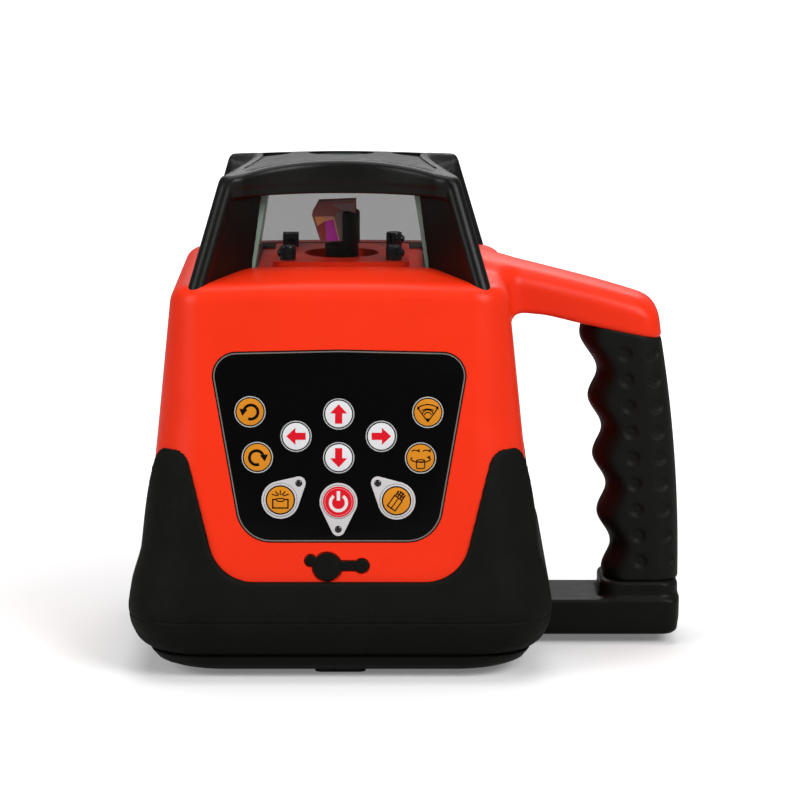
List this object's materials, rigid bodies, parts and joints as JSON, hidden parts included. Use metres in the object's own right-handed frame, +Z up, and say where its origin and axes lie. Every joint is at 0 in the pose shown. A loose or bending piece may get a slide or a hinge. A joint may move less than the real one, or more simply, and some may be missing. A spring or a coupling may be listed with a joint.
{
  "type": "rotating laser level",
  "caption": "Self-levelling rotating laser level: boxy body on a rubber bumper, glazed lantern with a spinning prism, keypad, side handle and battery drawer.",
  "frame": {"origin": "on the axis of the tripod thread, in the plane of the feet", "axes": "+X towards the carrying handle, -Y towards the keypad, +Z up along the rotor's axis"},
  "size_m": [0.2063, 0.1579, 0.1862],
  "materials": {
    "black_pan": "moulded, fine texture",
    "bumper_rubber": "matt, fine grain",
    "orange_shell": "satin, fine spark texture",
    "black_arm": "satin",
    "core_tube": "drawn",
    "grip_rubber": "matt, dimpled",
    "roof_black": "satin gloss",
    "cap_black": "satin",
    "clear_glass": "clear, faint green",
    "gasket_rubber": "matt",
    "post_black": "gloss",
    "overlay_black": "smooth film",
    "white_print": "smooth film",
    "board_green": "solder mask",
    "lens_white": "translucent",
    "jack_black": "moulded",
    "brass_insert": "machined",
    "foot_rubber": "matt",
    "screw_steel": "zinc plated",
    "cast_alloy": "die cast",
    "motor_steel": "drawn can",
    "bay_plastic": "moulded",
    "shaft_steel": "ground",
    "nut_plastic": "acetal",
    "barrel_alloy": "turned",
    "module_brass": "turned",
    "bearing_steel": "ground",
    "belt_rubber": "matt",
    "rotor_black": "black anodised",
    "prism_coated": "coated optical glass",
    "drawer_plastic": "moulded",
    "cell_jacket": "printed sleeve",
    "contact_nickel": "nickel plated",
    "amber_key": "smooth",
    "white_key": "smooth",
    "red_key": "smooth"
  },
  "bodies": {
    "chassis": {"base_pan": "black_pan", "rubber_bumper": "bumper_rubber", "upper_housing": "orange_shell", "foot_arm": "black_arm", "handle_foot": "black_arm", "handle_core": "core_tube", "grip_sleeve": "grip_rubber", "roof_frame": "roof_black", "roof_cap": "cap_black", "roof_window": "clear_glass", "lantern_glass": "clear_glass", "lantern_gasket": "gasket_rubber", "inner_deck": "orange_shell", "deck_posts": "post_black", "keypad_overlay": "overlay_black", "keypad_surrounds": "white_print", "keypad_board": "board_green", "status_lenses": "lens_white", "main_board": "board_green", "charge_jack": "jack_black", "jack_anchor": "bumper_rubber", "tripod_insert": "brass_insert", "plumb_window": "clear_glass", "feet": "foot_rubber", "case_screws": "screw_steel", "gimbal_frame": "cast_alloy", "level_motor_x": "motor_steel", "battery_bay": "bay_plastic"},
    "tilt_ring": {"tilt_ring": "cast_alloy", "level_motor_y": "motor_steel"},
    "lead_screw_x": {"lead_screw_x": "shaft_steel"},
    "lead_nut_x": {"lead_nut_x": "nut_plastic"},
    "lead_screw_y": {"lead_screw_y": "shaft_steel"},
    "lead_nut_y": {"lead_nut_y": "nut_plastic"},
    "laser_barrel": {"laser_barrel": "barrel_alloy", "laser_module": "module_brass", "spindle_bearings": "bearing_steel", "drive_motor": "motor_steel", "drive_belt": "belt_rubber"},
    "motor_pulley": {"motor_pulley": "nut_plastic"},
    "rotor": {"rotor_spindle": "shaft_steel", "driven_pulley": "nut_plastic", "rotor_head": "rotor_black", "pentaprism": "prism_coated"},
    "battery_drawer": {"battery_drawer": "drawer_plastic", "battery_cells": "cell_jacket", "battery_contacts": "contact_nickel"},
    "battery_knob": {"battery_knob": "black_arm"},
    "jack_cover": {"jack_cover": "bumper_rubber"},
    "key_turn_left": {"key_turn_left": "amber_key"},
    "key_turn_right": {"key_turn_right": "amber_key"},
    "key_arrow_left": {"key_arrow_left": "white_key"},
    "key_arrow_up": {"key_arrow_up": "white_key"},
    "key_arrow_down": {"key_arrow_down": "white_key"},
    "key_arrow_right": {"key_arrow_right": "white_key"},
    "key_scan": {"key_scan": "amber_key"},
    "key_speed": {"key_speed": "amber_key"},
    "key_tilt": {"key_tilt": "amber_key"},
    "key_power": {"key_power": "red_key"},
    "key_mode": {"key_mode": "amber_key"}
  },
  "joints": [
    {"name": "level_tilt_x", "type": "hinge", "parent": "chassis", "child": "tilt_ring", "pos_m": [0, 0, 0.104], "axis": [1, 0, 0], "range_deg": [-5, 5]},
    {"name": "level_tilt_y", "type": "hinge", "parent": "tilt_ring", "child": "laser_barrel", "pos_m": [0, 0, 0.104], "axis": [0, 1, 0], "range_deg": [-5, 5]},
    {"name": "nut_x_slide", "type": "slide", "parent": "chassis", "child": "lead_nut_x", "axis": [0, 0, 1], "range_m": [-0.0032, 0.0032]},
    {"name": "screw_x_spin", "type": "hinge", "parent": "chassis", "child": "lead_screw_x", "pos_m": [0.012, 0.036, 0.1], "axis": [0, 0, 1], "range_deg": [-290, 290]},
    {"name": "nut_y_slide", "type": "slide", "parent": "tilt_ring", "child": "lead_nut_y", "axis": [0, 0, 1], "range_m": [-0.0023, 0.0023]},
    {"name": "screw_y_spin", "type": "hinge", "parent": "tilt_ring", "child": "lead_screw_y", "pos_m": [-0.025, -0.028, 0.11], "axis": [0, 0, 1], "range_deg": [-200, 200]},
    {"name": "rotor_spin", "type": "hinge", "parent": "laser_barrel", "child": "rotor", "pos_m": [0, 0, 0.12], "axis": [0, 0, 1], "continuous": true},
    {"name": "motor_spin", "type": "hinge", "parent": "laser_barrel", "child": "motor_pulley", "pos_m": [0.024, 0, 0.13], "axis": [0, 0, 1], "continuous": true},
    {"name": "battery_slide", "type": "slide", "parent": "chassis", "child": "battery_drawer", "axis": [0, 1, 0], "range_m": [0, 0.062]},
    {"name": "battery_knob_turn", "type": "hinge", "parent": "battery_drawer", "child": "battery_knob", "pos_m": [0, 0.076, 0.0245], "axis": [0, 1, 0], "range_deg": [0, 90]},
    {"name": "jack_cover_flip", "type": "hinge", "parent": "chassis", "child": "jack_cover", "pos_m": [0.0049, -0.07465, 0.0429], "axis": [0, 0.1191, 0.9929], "range_deg": [0, 110], "stiffness_Nm_per_rad": 0.002},
    {"name": "key_turn_left_press", "type": "slide", "parent": "chassis", "child": "key_turn_left", "axis": [0, 0.9929, -0.1191], "range_m": [0, 0.0005], "stiffness_N_per_m": 1500, "springref_m": -0.0002},
    {"name": "key_turn_right_press", "type": "slide", "parent": "chassis", "child": "key_turn_right", "axis": [0, 0.9929, -0.1191], "range_m": [0, 0.0005], "stiffness_N_per_m": 1500, "springref_m": -0.0002},
    {"name": "key_arrow_left_press", "type": "slide", "parent": "chassis", "child": "key_arrow_left", "axis": [0, 0.9929, -0.1191], "range_m": [0, 0.0005], "stiffness_N_per_m": 1500, "springref_m": -0.0002},
    {"name": "key_arrow_up_press", "type": "slide", "parent": "chassis", "child": "key_arrow_up", "axis": [0, 0.9929, -0.1191], "range_m": [0, 0.0005], "stiffness_N_per_m": 1500, "springref_m": -0.0002},
    {"name": "key_arrow_down_press", "type": "slide", "parent": "chassis", "child": "key_arrow_down", "axis": [0, 0.9929, -0.1191], "range_m": [0, 0.0005], "stiffness_N_per_m": 1500, "springref_m": -0.0002},
    {"name": "key_arrow_right_press", "type": "slide", "parent": "chassis", "child": "key_arrow_right", "axis": [0, 0.9929, -0.1191], "range_m": [0, 0.0005], "stiffness_N_per_m": 1500, "springref_m": -0.0002},
    {"name": "key_scan_press", "type": "slide", "parent": "chassis", "child": "key_scan", "axis": [0, 0.9929, -0.1191], "range_m": [0, 0.0005], "stiffness_N_per_m": 1500, "springref_m": -0.0002},
    {"name": "key_speed_press", "type": "slide", "parent": "chassis", "child": "key_speed", "axis": [0, 0.9929, -0.1191], "range_m": [0, 0.0005], "stiffness_N_per_m": 1500, "springref_m": -0.0002},
    {"name": "key_tilt_press", "type": "slide", "parent": "chassis", "child": "key_tilt", "axis": [0, 0.9929, -0.1191], "range_m": [0, 0.0005], "stiffness_N_per_m": 1500, "springref_m": -0.0002},
    {"name": "key_power_press", "type": "slide", "parent": "chassis", "child": "key_power", "axis": [0, 0.9929, -0.1191], "range_m": [0, 0.0005], "stiffness_N_per_m": 1500, "springref_m": -0.0002},
    {"name": "key_mode_press", "type": "slide", "parent": "chassis", "child": "key_mode", "axis": [0, 0.9929, -0.1191], "range_m": [0, 0.0005], "stiffness_N_per_m": 1500, "springref_m": -0.0002}
  ],
  "couplings": [
    {"joint": "nut_x_slide", "follows": "level_tilt_x", "m_per_rad": 0.036},
    {"joint": "screw_x_spin", "follows": "level_tilt_x", "ratio": 56.549},
    {"joint": "nut_y_slide", "follows": "level_tilt_y", "m_per_rad": 0.025},
    {"joint": "screw_y_spin", "follows": "level_tilt_y", "ratio": 39.27},
    {"joint": "motor_spin", "follows": "rotor_spin", "ratio": 2.25}
  ]
}
